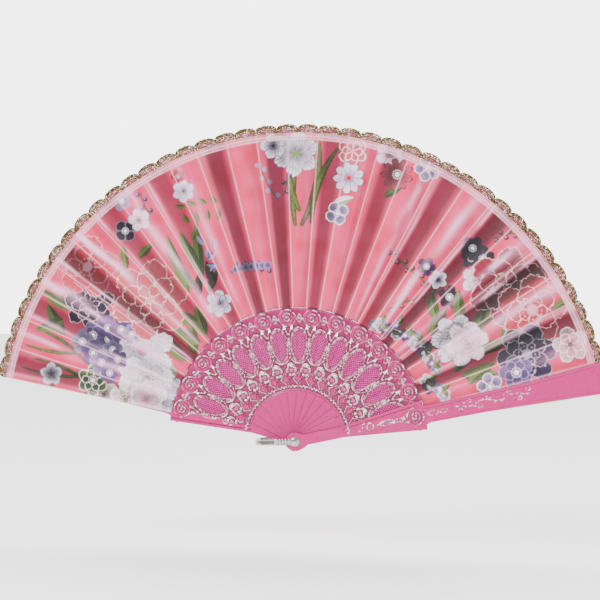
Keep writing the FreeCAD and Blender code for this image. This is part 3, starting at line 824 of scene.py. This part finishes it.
class Print:
    """Colours printed on the cloth, at points given by x and z in millimetres."""

    def __init__(self, x, z):
        self.x, self.z = x, z
        grain = noise(x / 9, z / 9, 3)[:, None]
        self.colour = mixed(linear(SATIN_MID), linear(SATIN_LIGHT), grain)

    def near(self, centre, size):
        found = np.nonzero((np.abs(self.x - centre[0]) < size) & (np.abs(self.z - centre[1]) < size))[0]
        return found, self.x[found] - centre[0], self.z[found] - centre[1]

    def lay(self, found, cover, colour):
        self.colour[found] = mixed(self.colour[found], colour, np.clip(cover, 0, 1)[:, None])

    def flower(self, angle, radius, size, petals, rim, heart, core=None, layers=1, outline=None,
               turn=0.0, fade=1.0):
        """An open flower of one or more rings of petals, painted from its outer ring in."""
        found, dx, dz = self.near(spot(angle, radius), size * 1.1)
        distance, bearing = np.hypot(dx, dz), np.arctan2(dz, dx)
        ruffle = noise(dx / 1.6 + size, dz / 1.6, petals) - 0.5
        for ring in range(layers):
            phase = bearing * petals / (2 * math.pi) + turn + 0.63 * ring
            offset = phase % 1 - 0.5
            edge = (1 - 0.3 * ring) * (0.66 + 0.34 * np.cos(math.pi * offset) ** 0.75)
            edge = size * (edge + 0.09 * ruffle)
            share = np.clip(distance / edge, 0, 1)
            veins = 0.8 + 0.2 * np.cos(offset * math.pi * 11) * share
            paint = mixed(linear(heart), linear(rim), (share ** 1.5 * veins)[:, None])
            shadow = 1 - 0.22 * smooth(0.4, 0.95, share) * (ring > 0) - 0.25 * smooth(0.35, 0.0, share)
            paint = paint * ((0.88 + 0.24 * noise(dx / 0.9, dz / 0.9, ring)) * shadow)[:, None]
            self.lay(found, smooth(0.25, -0.25, distance - edge) * fade, paint)
            if outline:
                seam = ridge(0.5 - np.abs(offset), 0.03 + 0.3 / np.maximum(distance, 2))
                line = np.maximum(ridge(distance - edge, 0.4), seam * (distance < edge) * 0.8)
                self.lay(found, line, linear(outline))
        if core:
            tips = 0.5 + 0.5 * np.cos(bearing * 13)
            self.lay(found, smooth(size * 0.2, size * 0.12, distance), linear(core))
            self.lay(found, ridge(distance - size * 0.27, 0.6) * tips, linear(core))

    def flowers(self, *rows):
        for row in rows:
            self.flower(*row)

    def leaf(self, angle, radius, length, width, heading, colour, light=LIGHT_GREEN):
        """A pointed leaf from its foot towards `heading`, in degrees from +X."""
        foot, way = spot(angle, radius), spot(heading, 1.0)
        found, dx, dz = self.near(foot + way * length / 2, length * 0.75)
        along = (dx * way[0] + dz * way[1]) / length + 0.5
        across = dz * way[0] - dx * way[1] + width * 0.35 * (along - 0.5) ** 2
        half = width / 2 * np.sin(math.pi * np.clip(along, 0, 1) ** 0.8) ** 0.8
        inside = smooth(0.25, -0.25, np.abs(across) - half) * (along > 0) * (along < 1)
        ribs = 0.5 + 0.5 * np.sin((along * length - np.abs(across) * 1.3) * 2.6)
        tone = (0.55 * (across > 0) + 0.35 * ribs)[:, None]
        self.lay(found, inside, mixed(linear(colour), linear(light), tone))
        self.lay(found, inside * ridge(across, 0.35), linear(light))

    def leaves(self, places, width, colour, light=LIGHT_GREEN):
        for angle, radius, heading, length in places:
            self.leaf(angle, radius, length, width, heading, colour, light)

    def stem(self, start, end, bend, width, colour, berries=0, berry=PURPLE):
        """A curved stem between two (angle, radius) places, with berries on its sides if wanted."""
        first, last = spot(*start), spot(*end)
        side = np.array([first[1] - last[1], last[0] - first[0]])
        middle = (first + last) / 2 + side * bend
        pieces = 25
        steps = np.linspace(0, 1, pieces + 1)[:, None]
        line = first * (1 - steps) ** 2 + 2 * middle * steps * (1 - steps) + last * steps ** 2
        centre, size = line.mean(0), np.ptp(line, axis=0).max() * 0.62 + width + 4
        found, dx, dz = self.near(centre, size)
        point = np.stack([dx, dz], -1) + centre
        nearest = np.full(len(point), 99.0)
        taper = np.zeros(len(point))
        for number, (a, b) in enumerate(zip(line[:-1], line[1:])):
            share = np.clip((point - a) @ (b - a) / ((b - a) @ (b - a)), 0, 1)
            distance = np.hypot(*(point - a - share[:, None] * (b - a)).T)
            closer = distance < nearest
            nearest = np.where(closer, distance, nearest)
            taper = np.where(closer, (number + share) / pieces, taper)
        half = width / 2 * (0.35 + 0.65 * np.sin(math.pi * np.clip(taper * 0.9 + 0.08, 0, 1)))
        tone = (0.35 * noise(dx * 0.7, dz * 0.7, 5) + 0.3 * (nearest < half * 0.4))[:, None]
        self.lay(found, smooth(0.2, -0.2, nearest - half), mixed(linear(colour), linear(LIGHT_GREEN), tone))
        for number in range(berries):
            place = line[int((number + 0.7) / berries * pieces) % (pieces + 1)]
            place = place + side / np.hypot(*side) * (2.1 if number % 2 else -2.1)
            close, bx, bz = self.near(place, 2.4)
            ball = np.hypot(bx, bz)
            self.lay(close, smooth(1.9, 1.5, ball), linear(berry))
            self.lay(close, smooth(0.8, 0.4, np.hypot(bx + 0.5, bz - 0.5)), linear(LILAC))

    def cluster(self, places, size, rims, heart, core):
        """Small flowers that take their rim colours in turn."""
        for number, (angle, radius) in enumerate(places):
            scale = 0.85 + 0.3 * lattice(number, radius, 1)
            self.flower(angle, radius, size * scale, 5, rims[number % len(rims)], heart, core,
                        turn=lattice(angle, number, 2))

    def left_side(self):
        for angle, foot, tip, bend in ((168.5, 138, 172, 0.1), (166.5, 150, 196, -0.1),
                                       (164.0, 152, 204, 0.12), (161.5, 160, 200, -0.14),
                                       (160.0, 168, 206, 0.1), (167.6, 176, 202, 0.2)):
            self.stem((angle, foot), (angle + bend * 22, tip), bend, 2.6, GREEN)
        self.leaves(((157.5, 182, 120, 26), (154.5, 186, 200, 22), (151.5, 184, 150, 27),
                     (168, 140, 140, 24), (165, 138, 205, 26), (163.5, 150, 110, 22)), 8.5, GREEN)
        self.leaves(((147, 97, 130, 24), (142, 95, 95, 22), (137, 96, 150, 26), (133, 98, 110, 22),
                     (145, 112, 175, 18), (132, 108, 160, 20)), 9, OLIVE)
        self.leaves(((139.5, 170, 60, 15), (136, 172, 100, 15), (132.5, 170, 45, 15)), 6, OLIVE)
        self.leaves(((168.6, 128, 60, 20), (168.8, 148, 120, 18), (161, 104, 150, 18),
                     (157, 98, 100, 16)), 8.5, LIGHT_GREEN, WHITE)
        self.flowers((168.4, 142, 11, 5, WHITE, LIGHT_GREEN, OLIVE, 2, BLUSH),
                     (168.6, 126, 12, 6, WHITE, BLUSH, LIGHT_GREEN, 2, WHITE),
                     (165.6, 101, 11, 5, WHITE, LILAC, None, 2, LILAC),
                     (158.6, 99, 9, 5, WHITE, PURPLE, WHITE, 2, LILAC, 0.3),
                     (165.3, 152, 11, 6, LIGHT_GREEN, GREEN, WHITE, 2, WHITE),
                     (166.5, 182, 8, 5, WHITE, PURPLE, OLIVE, 1, LILAC, 0.2),
                     (151.5, 127, 23, 7, WHITE, (214, 196, 216), BLUSH, 3, (208, 186, 208), 0.1),
                     (160, 116, 20, 6, WHITE, (226, 206, 220), LIGHT_GREEN, 2, (214, 190, 206), 0.3),
                     (166.5, 112, 13, 6, WHITE, BLUSH, None, 2, (220, 190, 206)),
                     (148.3, 176, 18, 7, (92, 66, 96), DEEP_PURPLE, (130, 104, 120), 3, (222, 206, 214), 0.2),
                     (154.5, 163, 10, 5, (150, 128, 176), (104, 84, 132), WHITE, 2, LILAC, 0.1))
        self.cluster(((157, 168), (153.5, 152), (158.5, 158), (155.5, 146), (151, 156), (149.5, 147),
                      (160, 150), (162, 142), (157.5, 140), (149, 139)),
                     8.5, (LILAC, (150, 128, 176), (122, 98, 150)), PURPLE, WHITE)
        self.flowers((142, 192, 22, 5, HOT, RED, BLUSH, 2, BLUSH, 0.35),
                     (138, 143, 28, 6, SALMON, (206, 84, 108), None, 4, (246, 214, 212), 0.15),
                     (130.8, 190, 8, 4, (90, 62, 84), (60, 36, 60), WHITE, 1, LILAC),
                     (127, 190, 8, 5, WHITE, BLUSH, OLIVE, 1, LILAC),
                     (127.7, 208, 7, 5, LILAC, (150, 140, 160), WHITE))
        self.stem((124.4, 188), (123.6, 206), 0.12, 1.2, OLIVE, 4, PURPLE)
        self.leaves(((128, 128, 112, 44), (125.5, 126, 128, 38), (123, 128, 96, 46),
                     (121.5, 134, 118, 34)), 7.5, GREEN)
        self.leaves(((126, 122, 90, 17), (122, 121, 70, 17), (119.5, 124, 110, 17)), 6, DARK_GREEN, OLIVE)
        self.flowers((121, 110, 9.5, 6, WHITE, LILAC, OLIVE, 2, LILAC),
                     (115.7, 191, 8, 6, WHITE, LILAC, OLIVE, 1, LILAC),
                     (115.5, 202, 5, 5, RED, WINE, BLUSH))
        for step in range(9):
            self.leaf(119 - step * 1.15, 158 + (step * 11) % 24, 8.5, 3.6, 70 + (step * 53) % 120, OLIVE)
        for step in range(6):
            self.leaf(118.6 - step * 1.0, 133 + (step * 9) % 26, 8, 4, 40 + step * 47, PURPLE, LILAC)
        self.stem((112, 128), (99.5, 121), 0.12, 1.0, OLIVE, 11, PURPLE)
        for step in range(7):
            self.flower(111 - step * 1.75, 126.5 - step * 0.5, 3.1, 5, LILAC, PURPLE)

    def right_side(self):
        for start, end, bend in (((91.3, 150), (90.5, 206), 0.1), ((89.5, 150), (86.5, 209), -0.14),
                                 ((87, 152), (82.8, 204), 0.16), ((90.2, 160), (92.4, 190), 0.14)):
            self.stem(start, end, bend, 5.2, OLIVE)
        self.flowers((91, 199, 16, 6, WHITE, PURPLE, LIGHT_GREEN, 2, LILAC, 0.1),
                     (95.5, 205, 9, 5, WHITE, LILAC, OLIVE, 1, LILAC))
        self.stem((95.5, 168), (98.7, 196), 0.1, 1.1, OLIVE, 6, LILAC)
        self.stem((94, 170), (93, 186), -0.1, 1.0, OLIVE, 3, PURPLE)
        self.leaf(82, 166, 15, 6, 20, LIGHT_GREEN, WHITE)
        self.flowers((80.7, 160, 8, 4, LILAC, PURPLE, WHITE, 1, WHITE, 0.2),
                     (79.8, 204, 10, 6, SALMON, HOT, None, 2, WHITE),
                     (79.5, 185.5, 11, 9, WHITE, LILAC, RED, 1, PURPLE),
                     (72.7, 209, 10, 6, WHITE, BLUSH, OLIVE, 1, LILAC))
        self.leaf(71, 180, 15, 6, 30, GREEN)
        self.flowers((70, 197, 11, 9, (206, 120, 140), WINE, WHITE, 1, WINE),
                     (65, 209, 9, 5, LILAC, PURPLE, WHITE, 1, WHITE))
        self.stem((65, 148), (44, 145), -0.08, 1.3, OLIVE, 13, WINE)
        self.stem((56, 111), (47.5, 138), 0.1, 1.2, OLIVE, 8, RED)
        self.cluster(((54, 151), (44, 146), (47, 175), (45.3, 181), (48.3, 181)), 7.5,
                     (PURPLE, (82, 52, 74)), (60, 34, 66), WHITE)
        self.flower(49.5, 149, 6.5, 5, WHITE, LILAC, OLIVE)
        self.stem((46.5, 196), (43.5, 212), 0.1, 1.2, OLIVE, 6, WINE)
        for place in ((39.5, 118, 60, 24), (36.5, 140, 95, 24), (33.5, 146, 40, 24), (30.5, 142, 75, 26),
                      (27.5, 140, 20, 24), (25, 120, 50, 26), (35.5, 116, 20, 22), (42, 128, 100, 20),
                      (23, 124, 5, 26), (20, 126, 40, 24), (27, 158, 60, 22)):
            self.leaves([place], 8.5, (GREEN, DARK_GREEN)[int(place[0]) % 2])
        self.flowers((42.5, 168, 11, 6, WHITE, BLUSH, OLIVE, 2, LILAC),
                     (37, 181, 27, 6, (178, 52, 86), (118, 24, 56), None, 4, (240, 200, 204), 0.1),
                     (30, 187, 24, 5, HOT, RED, BLUSH, 3, (250, 214, 220), 0.3))
        self.leaf(28, 199, 13, 5, 40, GREEN)
        self.flowers((33, 132, 18, 7, WHITE, (176, 164, 180), OLIVE, 3, LILAC),
                     (21.8, 171, 21, 6, (104, 84, 116), INK, (190, 176, 196), 3, (214, 196, 208), 0.25),
                     (18.5, 160, 12, 5, (140, 120, 160), PURPLE, WHITE, 2, LILAC),
                     (31, 137, 15, 6, WHITE, BLUSH, LIGHT_GREEN, 2, (220, 190, 206), 0.2),
                     (17, 140, 9, 5, LILAC, PURPLE, WHITE, 1, WHITE),
                     (20.5, 201, 12, 5, (236, 206, 214), SALMON, OLIVE, 2, WHITE))
        for number in range(17):
            angle, radius = 57 - number * 2.4, 97 + 15 * lattice(number, 3, 9)
            self.flower(angle, radius, 3.5 + 2.5 * lattice(number, 1, 4), 5,
                        (LILAC, WHITE, PURPLE)[number % 3], PURPLE, WHITE)
            self.leaf(angle - 1, radius + 2, 8, 3.4, 30 + (number * 67) % 140, OLIVE)


# ------------------------------ leaf and lace

COLUMNS, ROWS = 45, 261
HEM_FROM, CLOTH_TO = 208.6, LACE_EDGE - 4.4
STITCHES = HEM_FROM + 0.4, HEM_FROM + 2.6
CHANNEL, SHALLOW = 0.2, 0.28  # how far the cloth goes back on a panel, and forward in a pleat
PANEL_DIP, PLEAT_RISE = 2.2, 0.7
# The satin's gleams are painted highlights, with strength given by LIT_SHARES at each angle.
LIT_ANGLES = 12, 24, 36, 55, 72, 105, 118, 140, 160, 169  # where the satin gleams, and how much
LIT_SHARES = 0.12, 0.2, 0.62, 0.62, 0.06, 0.04, 0.4, 0.8, 0.45, 0.25
CREASES = [direction(0) + PANEL_HALF - step * TURN / 2 for step in range(2 * LAST + 2)]


def cloth_depth(number):
    """Y of a panel's middle: a little in front of CAD's, except by the guards."""
    low, high = layers(f"leaf_panel_{number:02d}")
    return (low + high) / 2 - {0: 0.0, LAST: 0.0, LAST - 1: 0.05}.get(number, 0.2)


MIDDLE_RADIUS = 150.0
DEPTHS = [cloth_depth(number) for number in range(LAST + 1)]


def depth(segment, share, radius):
    """Y of the cloth's middle. Even segments are panels on sticks; odd ones fold between them."""
    number = segment // 2
    start = DEPTHS[number]
    if segment % 2 == 0:
        channel = CHANNEL if 0 < number < LAST - 1 else 0
        return start + channel * (1 - (2 * share - 1) ** 2) * smooth(212, 200, radius)
    step = start - DEPTHS[number + 1]
    shallow = min(SHALLOW, step * 0.5)
    inner = start - shallow * smooth(0, 0.35, share) - (step - shallow) * smooth(0.9, 1.0, share)
    outer = start - step * share
    past_rib = smooth(RIB_TIP, RIB_TIP + 4, radius)
    return mixed(inner, outer, past_rib)


def fold_height(segment, share, radius):
    """How deep the cloth's fold reads, in metres, for the satin's bump."""
    scale = 0.45 + 0.55 * (radius - LEAF_INNER) / (LEAF_OUTER - LEAF_INNER)
    if segment % 2 == 0:
        return -PANEL_DIP * MM * scale * (1 - np.abs(2 * share - 1) ** 2.2)
    return PLEAT_RISE * MM * scale * (1 - np.abs(2 * share - 1) ** 4)


def shade_cloth(segment, share, radius, paint):
    """The print with painted highlights on the fold lines, painted shade in the channels, in the pleats and
    along the inner edge, painted gleams, and a pale stitched hem.
    """
    width = np.radians(TURN / 2) * radius
    from_crease = np.minimum(share, 1 - share) * width
    crease = np.exp(-(from_crease / 0.42) ** 2)
    seed = lattice(segment, 5, 8)
    angle = CREASES[segment] - share * TURN / 2
    wander = 0.22 * (noise(radius / 34, segment, 11) - 0.5)
    spread = 0.7 + 0.9 * noise(radius / 21, segment, 12)
    if segment % 2 == 0:
        # Painted shade: a panel darkens across its middle, more on the fan's right, with a painted gleam near
        # its first crease.
        dark = 0.66 + 0.18 * seed + 0.1 * smooth(76, 40, angle)
        tone = 1 - dark * smooth(0.02, 0.35, share) * smooth(1.1, 0.7, share)
        shine = 0.7 * np.exp(-((share - 0.12 - 0.07 * seed - wander / 3) / (0.055 * spread)) ** 2)
    else:
        # Painted shade: a pleat darkens towards its far crease, with a painted gleam across it.
        tone = 1.05 - (0.12 + 0.3 * seed) * smooth(0.2, 0.95, share)
        shine = np.exp(-((share - 0.3 - 0.4 * seed - wander) / (0.15 * spread)) ** 2)
    streaks = noise(share * 9 + segment * 7, radius / 26, 6)
    tone = tone * (0.9 + 0.2 * streaks)
    # The painted shade is softened over white print.
    whiteness = np.clip((paint.min(-1) - 0.25) / 0.45, 0, 1)
    tone = tone + (1 - tone) * 0.6 * whiteness * (tone < 1)
    shaded = paint * tone[..., None]
    # The gleam is a painted highlight, as strong as the listed angles give, in patches with sparkle.
    lit_side = np.interp(angle, LIT_ANGLES, LIT_SHARES)
    patches = smooth(0.25, 0.75, noise(share * 4 + segment * 3, radius / 17, 2))
    sparkle = 0.8 + 0.4 * noise(share * 46, radius * 1.7, 7)
    shine = shine * lit_side * (0.3 + 0.95 * patches) * sparkle
    shine = np.clip(shine * smooth(94, 120, radius + 14 * seed), 0, 0.8)[..., None]
    shaded = mixed(shaded, linear(GLEAM), shine)
    # Painted shadow along the cloth's inner edge.
    shaded = shaded * (1 - 0.6 * smooth(LEAF_INNER + 0.9, LEAF_INNER + 0.3, radius)[..., None])
    # Painted highlight along each crease.
    light = (0.8 * crease * (0.7 + 0.3 * streaks))[..., None]
    shaded = mixed(shaded, linear(CREASE_HIGHLIGHT), light)
    hem = (smooth(HEM_FROM - 0.4, HEM_FROM + 0.4, radius) * (0.3 + 0.25 * streaks))[..., None]
    shaded = mixed(shaded, linear(HEM), hem)
    for row in STITCHES:
        stitch = smooth(0.55, 0.25, np.abs(radius - row)) * (0.72 + 0.28 * np.sin(share * width * 3.4))
        shaded = mixed(shaded, linear(STITCH), 0.85 * stitch[..., None])
    return np.clip(shaded, 0, 1)


def cloth_grids():
    """Shares across a piece and radii along it, alike for all, and each piece's angles."""
    share, radius = np.meshgrid(np.linspace(0, 1, COLUMNS), np.linspace(LEAF_INNER, CLOTH_TO, ROWS))
    angles = [CREASES[s] - share * TURN / 2 for s in range(2 * LAST + 1)]
    return share, radius, angles


def add_attribute(mesh, name, values):
    mesh.attributes.new(name, "FLOAT", "POINT").data.foreach_set("value", values.astype(np.float32))


def attach(piece, segment):
    """A panel rides on its stick; a fold bends between two sticks, in proportion to the angle."""
    number = segment // 2
    if segment % 2 == 0:
        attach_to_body(piece, body_name(number))
        return
    start, end = (row_points(MIDDLE_RADIUS, CREASES[segment + side], 0.0) for side in (0, 1))
    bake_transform(piece, body_name(number), body_name(number + 1), start=tuple(start), end=tuple(end))
    points = np.array([v.co[:] for v in piece.data.vertices])
    angle = np.degrees(np.arctan2(points[:, 2], points[:, 0]))
    weight = np.clip((CREASES[segment] - angle) / (TURN / 2), 0, 1)
    piece.data.attributes["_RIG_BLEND"].data.foreach_set("value", weight.astype(np.float32))


SCALLOP, SCALLOP_DEPTH = TURN / 3, 3.3  # in degrees and millimetres
ROPE = 2.5  # width of the outer cord
CORD_RADIUS, CUSP_RADIUS = 218, 217
THINNED_FROM = 2 * LAST - 3  # from this piece on the lace is thin, to clear the panels when closed


def lace_mesh(name, segment):
    """A band of sparkling net inside a thick twisted cord that follows the scallops."""
    columns, rows = 141, 45
    share, up = np.meshgrid(np.linspace(0, 1, columns), np.linspace(0, 1, rows))
    angle = CREASES[segment] - share * TURN / 2
    phase = ((CREASES[0] - angle) / SCALLOP) % 1
    inner, edge = CLOTH_TO - 1.6, LACE_EDGE - SCALLOP_DEPTH * (1 - ridge(2 * phase - 1, 1.0) ** 0.85)
    radius = inner + (edge - inner) * up
    slope = np.gradient(edge, axis=1) / (np.radians(TURN / 2) * radius / (columns - 1))
    from_edge = (edge - radius) / np.sqrt(1 + slope ** 2)
    along = np.radians(CREASES[0] - angle) * CORD_RADIUS
    rope = ridge(from_edge - ROPE / 2, ROPE / 2)
    strand = 0.5 + 0.5 * np.cos(2 * math.pi * (along / 1.15 + from_edge / 1.7))
    picot = 0.5 + 0.5 * np.cos(2 * math.pi * along / 1.9)
    height = rope * (0.55 + 0.45 * strand)
    inner_cord = ridge(from_edge - ROPE - 0.75, 0.4) * (0.6 + 0.4 * picot)
    height = np.maximum(height, inner_cord * 0.75)
    base = np.maximum(ridge(radius - inner - 0.55, 0.4), ridge(radius - inner - 1.5, 0.3) * 0.7)
    height = np.maximum(height, base * (0.65 + 0.35 * picot))
    from_cusp = np.minimum(phase, 1 - phase) * math.radians(SCALLOP) * CUSP_RADIUS
    knot = ridge(np.hypot(from_cusp, radius - LACE_EDGE + SCALLOP_DEPTH + 1.6), 1.5)
    height = np.maximum(height, knot * (0.6 + 0.4 * strand))
    thinned = share if segment == THINNED_FROM else float(segment > THINNED_FROM)
    height_scale = 1 - 0.75 * thinned
    middle = depth(segment, share, radius)
    over = height_scale * smooth(CLOTH_TO + 0.3, CLOTH_TO - 0.3, radius) * 0.17
    relief = height * height_scale
    sunk = 0.16 * relief * (radius > CLOTH_TO)
    points, faces = shell(row_points(radius, angle, middle - over - 0.05 - 0.34 * relief),
                          row_points(radius, angle, middle - over + 0.05 + sunk))
    net = noise(along * 1.9, radius * 1.9, 4)
    cloth = (1 - smooth(0.12, 0.4, height)) * (0.55 + 0.45 * (net > 0.5))
    # The third channel is the relief height, which the gold material turns into painted shade in the gaps.
    colour = np.stack([height, cloth, height], -1).reshape(-1, 3)
    return make_mesh(name, points, faces, grid_uv(rows, columns, (0, 0, 1, 1)),
                     np.concatenate([colour, colour]))


def make_leaf():
    share, radius, angles = cloth_grids()
    turns = [np.radians(angle) for angle in angles]
    print_on = Print(np.concatenate([(radius * np.cos(t)).ravel() for t in turns]),
                     np.concatenate([(radius * np.sin(t)).ravel() for t in turns]))
    print_on.left_side()
    print_on.right_side()
    paints = np.split(print_on.colour, len(angles))
    for segment, angle in enumerate(angles):
        number = segment // 2
        kind = "Panel" if segment % 2 == 0 else "Pleat"
        middle = depth(segment, share, radius)
        thick = CLOTH / 2 * np.where(share * (1 - share) > 0, 1.0, 0.6)
        shaded = shade_cloth(segment, share, radius, paints[segment].reshape(ROWS, COLUMNS, 3))
        points, faces = shell(row_points(radius, angle, middle - thick),
                              row_points(radius, angle, middle + thick))
        pale = mixed(shaded, linear(SATIN_BACK), 0.55)
        colour = np.concatenate([shaded.reshape(-1, 3), pale.reshape(-1, 3)])
        mesh = make_mesh(f"leaf_{kind}_{number:02d}", points, faces,
                         grid_uv(ROWS, COLUMNS, (0, 0, 1, 1)), colour)
        fold = fold_height(segment, share, radius).ravel()
        add_attribute(mesh, "Fold", np.concatenate([fold, -fold]))
        cloth = add_piece(f"Leaf_{kind}_{number:02d}", mesh, SATIN)
        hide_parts(f"leaf_{kind.lower()}_{number:02d}")
        lace = add_piece(f"Lace_{kind}_{number:02d}", lace_mesh(f"lace_{kind}_{number:02d}", segment),
                         GOLD)
        if segment % 2 == 0:
            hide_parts(f"lace_{number:02d}")
        attach(cloth, segment)
        attach(lace, segment)


make_leaf()

# ------------------------------ floor, light and camera


def stage_material():
    n = Nodes("PaleStage")
    tone = n.mix(n.noise(6, 3), (243, 243, 243), (250, 250, 250))
    return n.surface(Base_Color=tone, Roughness=n.ramp(n.noise(40, 2), 0.3, 0.7, 0.7, 0.85))


def add_floor(height):
    mesh = bpy.data.meshes.new("floor")
    corners = [(x, y, height) for x, y in ((-4, -4), (4, -4), (4, 4), (-4, 4))]
    mesh.from_pydata(corners, [], [(0, 1, 2, 3)])
    mesh.materials.append(stage_material())
    floor = bpy.data.objects.new("Floor", mesh)
    bpy.context.scene.collection.objects.link(floor)


def add_light(place, size, power):
    """A round soft light that faces the fan's middle."""
    data = bpy.data.lights.new("Softbox", "AREA")
    data.shape, data.size, data.energy = "DISK", size, power
    light = bpy.data.objects.new("Softbox", data)
    light.location = place
    way = Vector((0, 0, 0.1)) - light.location
    light.rotation_euler = way.to_track_quat("-Z", "Y").to_euler()
    bpy.context.scene.collection.objects.link(light)


CAMERA_TURN, CAMERA_TILT, CAMERA_ROLL = 8.2, 1.3, 0.75
CAMERA_RIGHT, CAMERA_UP, CAMERA_BACK = 1.95, 97.6, 2028
SENSOR, LENS = 36, 175.56


def add_camera():
    """The photograph's camera: a little right of the fan's front, far off, with a long lens."""
    turn, tilt, roll = (math.radians(value) for value in (CAMERA_TURN, CAMERA_TILT, CAMERA_ROLL))
    right = np.array([math.cos(turn), math.sin(turn), 0])
    ahead = np.array([-math.sin(turn) * math.cos(tilt), math.cos(turn) * math.cos(tilt), -math.sin(tilt)])
    up = np.cross(right, ahead)
    right, up = (math.cos(roll) * right + math.sin(roll) * up,
                 math.cos(roll) * up - math.sin(roll) * right)
    place = (CAMERA_RIGHT * right + CAMERA_UP * up - CAMERA_BACK * ahead) * MM
    data = bpy.data.cameras.new("Camera")
    data.sensor_width, data.lens = SENSOR, LENS
    data.clip_start, data.clip_end = 0.05, 50
    camera = bpy.data.objects.new("Camera", data)
    bpy.context.scene.collection.objects.link(camera)
    matrix = np.eye(4)
    matrix[:3, :3], matrix[:3, 3] = np.stack([right, up, -ahead], 1), place
    camera.matrix_world = Matrix(matrix.tolist())
    bpy.context.scene.camera = camera


def studio_world():
    """A white studio, brighter behind the fan than in front of it."""
    world = bpy.data.worlds.new("Studio")
    world.use_nodes = True
    nodes, links = world.node_tree.nodes, world.node_tree.links
    way = nodes.new("ShaderNodeTexCoord")
    parts = nodes.new("ShaderNodeSeparateXYZ")
    level = nodes.new("ShaderNodeMapRange")
    level.interpolation_type = "SMOOTHSTEP"
    for key, value in (("From Min", -0.6), ("From Max", 0.7), ("To Min", 0.62), ("To Max", 5.0)):
        level.inputs[key].default_value = value
    links.new(way.outputs["Generated"], parts.inputs[0])
    links.new(parts.outputs["Y"], level.inputs["Value"])
    links.new(level.outputs[0], nodes["Background"].inputs["Strength"])
    nodes["Background"].inputs["Color"].default_value = (1, 1, 1, 1)
    return world


add_floor(-0.075)
add_light((-0.8, -1.1, 1.1), 0.45, 27)
add_light((1.2, -1.3, 0.6), 0.7, 9)
add_light((0.1, 0.9, 1.3), 0.9, 10)
bpy.context.scene.world = studio_world()
add_camera()
